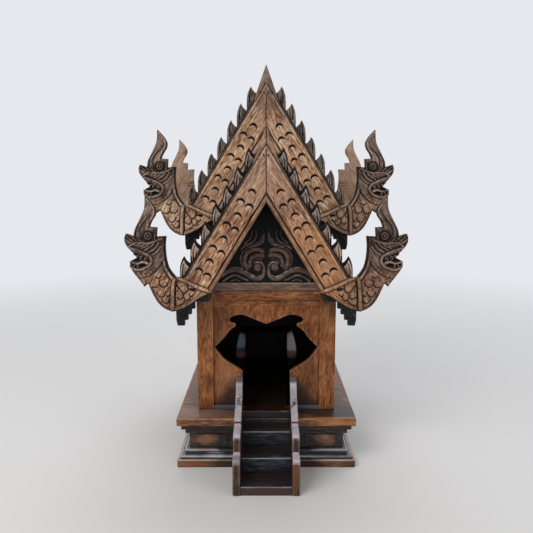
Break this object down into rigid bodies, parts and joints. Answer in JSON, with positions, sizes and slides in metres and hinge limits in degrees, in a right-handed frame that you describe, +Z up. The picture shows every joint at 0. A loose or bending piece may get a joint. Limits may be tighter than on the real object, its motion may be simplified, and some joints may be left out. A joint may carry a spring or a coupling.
{
  "type": "spirit house",
  "caption": "Carved teak spirit house: moulded plinth, stair to a cut-out doorway, and a two-tier roof whose gable boards end in rearing naga heads.",
  "frame": {"origin": "centre of the plinth's underside", "axes": "+X to the right as seen from the front, +Y towards the back, the doorway faces -Y, +Z up"},
  "size_m": [0.543, 0.5885, 0.815],
  "materials": {
    "honey_teak": "satin",
    "body_teak": "satin",
    "dark_teak": "satin",
    "black_teak": "satin",
    "worn_teak": "satin"
  },
  "bodies": {
    "root": {"base_slab": "dark_teak", "base_ledge_lower": "dark_teak", "base_ledge_upper": "dark_teak", "dado": "black_teak", "dado_panels": "dark_teak", "bed_moulding": "black_teak", "deck_slab": "body_teak", "stair_stringer_left": "worn_teak", "stair_stringer_right": "worn_teak", "lower_step": "black_teak", "middle_step": "black_teak", "upper_step": "black_teak", "front_wall": "body_teak", "inner_door_frame": "black_teak", "side_wall_left": "body_teak", "side_wall_right": "body_teak", "rear_wall": "body_teak", "front_stiles": "body_teak", "rear_stiles": "body_teak", "skirting": "dark_teak", "front_beam": "body_teak", "front_beam_cap": "worn_teak", "side_rails": "body_teak", "rear_beam": "body_teak", "gable_bearers": "black_teak", "front_pediment": "black_teak", "hall_pediment": "dark_teak", "rear_pediment": "black_teak", "lower_roof": "black_teak", "upper_roof": "black_teak", "lower_ridge": "black_teak", "upper_ridge": "black_teak", "eave_blocks": "black_teak", "eave_strips": "black_teak", "front_naga_left": "honey_teak", "front_naga_right": "honey_teak", "hall_naga_left": "honey_teak", "hall_naga_right": "honey_teak", "rear_naga_left": "honey_teak", "rear_naga_right": "honey_teak", "front_flame_leaves": "worn_teak", "hall_flame_leaves": "worn_teak", "rear_flame_leaves": "worn_teak"}
  },
  "joints": []
}
